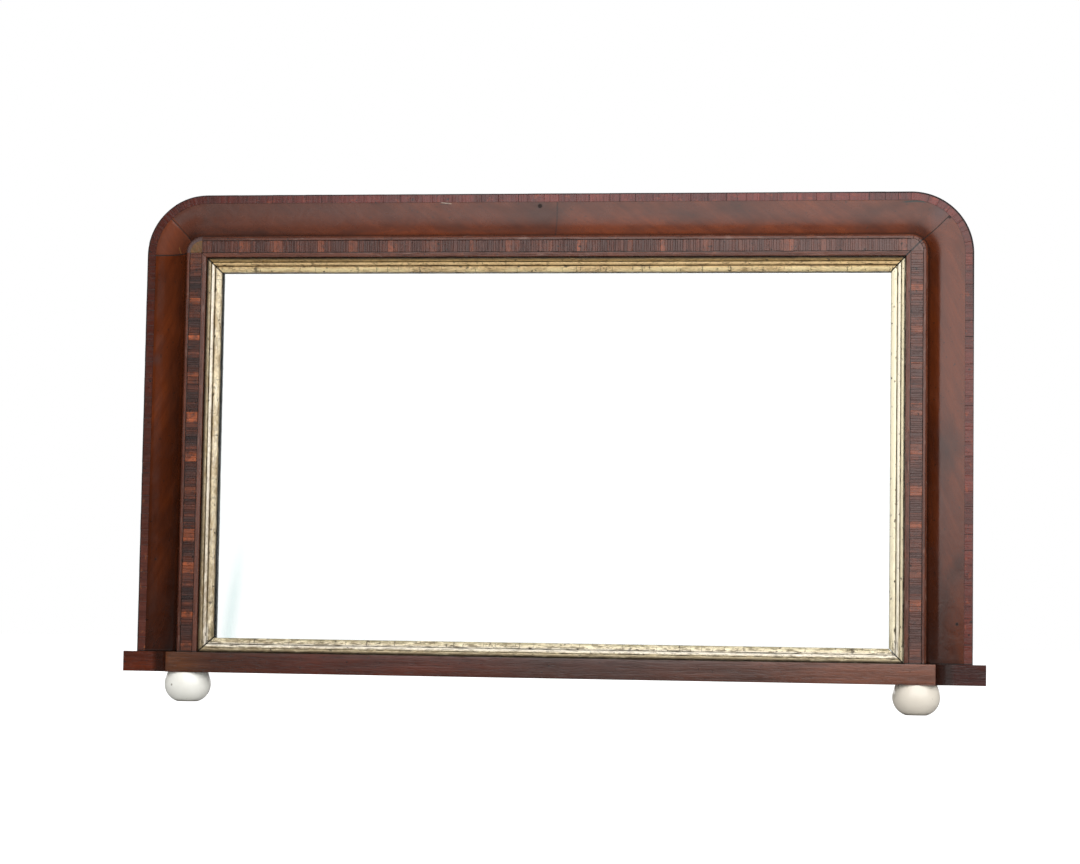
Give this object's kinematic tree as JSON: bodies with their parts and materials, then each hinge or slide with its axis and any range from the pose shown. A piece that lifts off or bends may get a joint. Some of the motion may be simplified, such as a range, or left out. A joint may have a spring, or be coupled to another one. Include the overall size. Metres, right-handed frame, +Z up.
{
  "type": "dressing table mirror",
  "caption": "Wide landscape mirror with rounded top corners, a hollow veneered frame, an inlaid block band and gilt slip, standing on a plinth with white bun feet.",
  "frame": {"origin": "on the ground, under the middle of the whole mirror's outline seen from above", "axes": "+X to the right as seen from the front, +Y from the glass towards the back, +Z up"},
  "size_m": [1.116, 0.0626, 0.667],
  "materials": {
    "ground_pine": "stained and aged pine",
    "hollow_rosewood": "polished rosewood veneer",
    "crossband": "polished cross-grain veneer",
    "band_border": "polished stained veneer",
    "corner_patch": "filled and toned repair",
    "light_block": "polished block",
    "dark_block": "polished stained block",
    "brown_block": "polished laminated block",
    "gilt": "worn gilding with fine cracks",
    "plate_glass": "clear polished plate",
    "silvering": "silvered back of the plate",
    "pine": "bare aged pine",
    "iron": "dull steel",
    "plinth_mahogany": "polished mahogany",
    "plinth_rosewood": "polished rosewood veneer",
    "foot_ceramic": "glossy off-white glaze",
    "hanger_steel": "worn nickel plating"
  },
  "bodies": {
    "frame": {"left_stile": "ground_pine", "right_stile": "ground_pine", "top_rail": "ground_pine", "left_corner_block": "ground_pine", "right_corner_block": "ground_pine", "corner_dowels": "ground_pine", "bottom_rail": "ground_pine", "left_hollow_veneer": "hollow_rosewood", "left_corner_hollow_veneer": "hollow_rosewood", "top_hollow_veneer": "hollow_rosewood", "right_hollow_veneer": "hollow_rosewood", "left_crossband": "crossband", "right_crossband": "crossband", "top_crossband": "crossband", "left_corner_crossband": "crossband", "right_corner_crossband": "crossband", "left_border": "band_border", "right_border": "band_border", "top_border": "band_border", "left_corner_patch": "corner_patch", "right_corner_blocks": "brown_block", "left_light_blocks": "light_block", "left_dark_blocks": "dark_block", "left_brown_blocks": "brown_block", "right_light_blocks": "light_block", "right_dark_blocks": "dark_block", "right_brown_blocks": "brown_block", "top_light_blocks": "light_block", "top_dark_blocks": "dark_block", "top_brown_blocks": "brown_block", "left_slip": "gilt", "right_slip": "gilt", "top_slip": "gilt", "bottom_slip": "gilt", "mirror_glass": "plate_glass", "silvering": "silvering", "glue_blocks": "pine", "backboard_bottom": "pine", "backboard_lower": "pine", "backboard_upper": "pine", "backboard_top": "pine", "backboard_nails": "iron", "plinth_board": "plinth_mahogany", "plinth_front_veneer": "plinth_rosewood", "left_ear_veneer": "plinth_mahogany", "right_ear_veneer": "plinth_mahogany", "plinth_screws": "iron", "left_foot": "foot_ceramic", "right_foot": "foot_ceramic", "foot_screws": "iron", "left_hanger_plate": "hanger_steel", "right_hanger_plate": "hanger_steel", "hanger_screws": "iron"},
    "left_ring": {"left_ring": "hanger_steel"},
    "right_ring": {"right_ring": "hanger_steel"}
  },
  "joints": [
    {"name": "left_ring_hinge", "type": "hinge", "parent": "frame", "child": "left_ring", "pos_m": [-0.5045, 0.0275, 0.484], "axis": [1, 0, 0], "range_deg": [0, 180]},
    {"name": "right_ring_hinge", "type": "hinge", "parent": "frame", "child": "right_ring", "pos_m": [0.5045, 0.0275, 0.484], "axis": [1, 0, 0], "range_deg": [0, 180]}
  ]
}
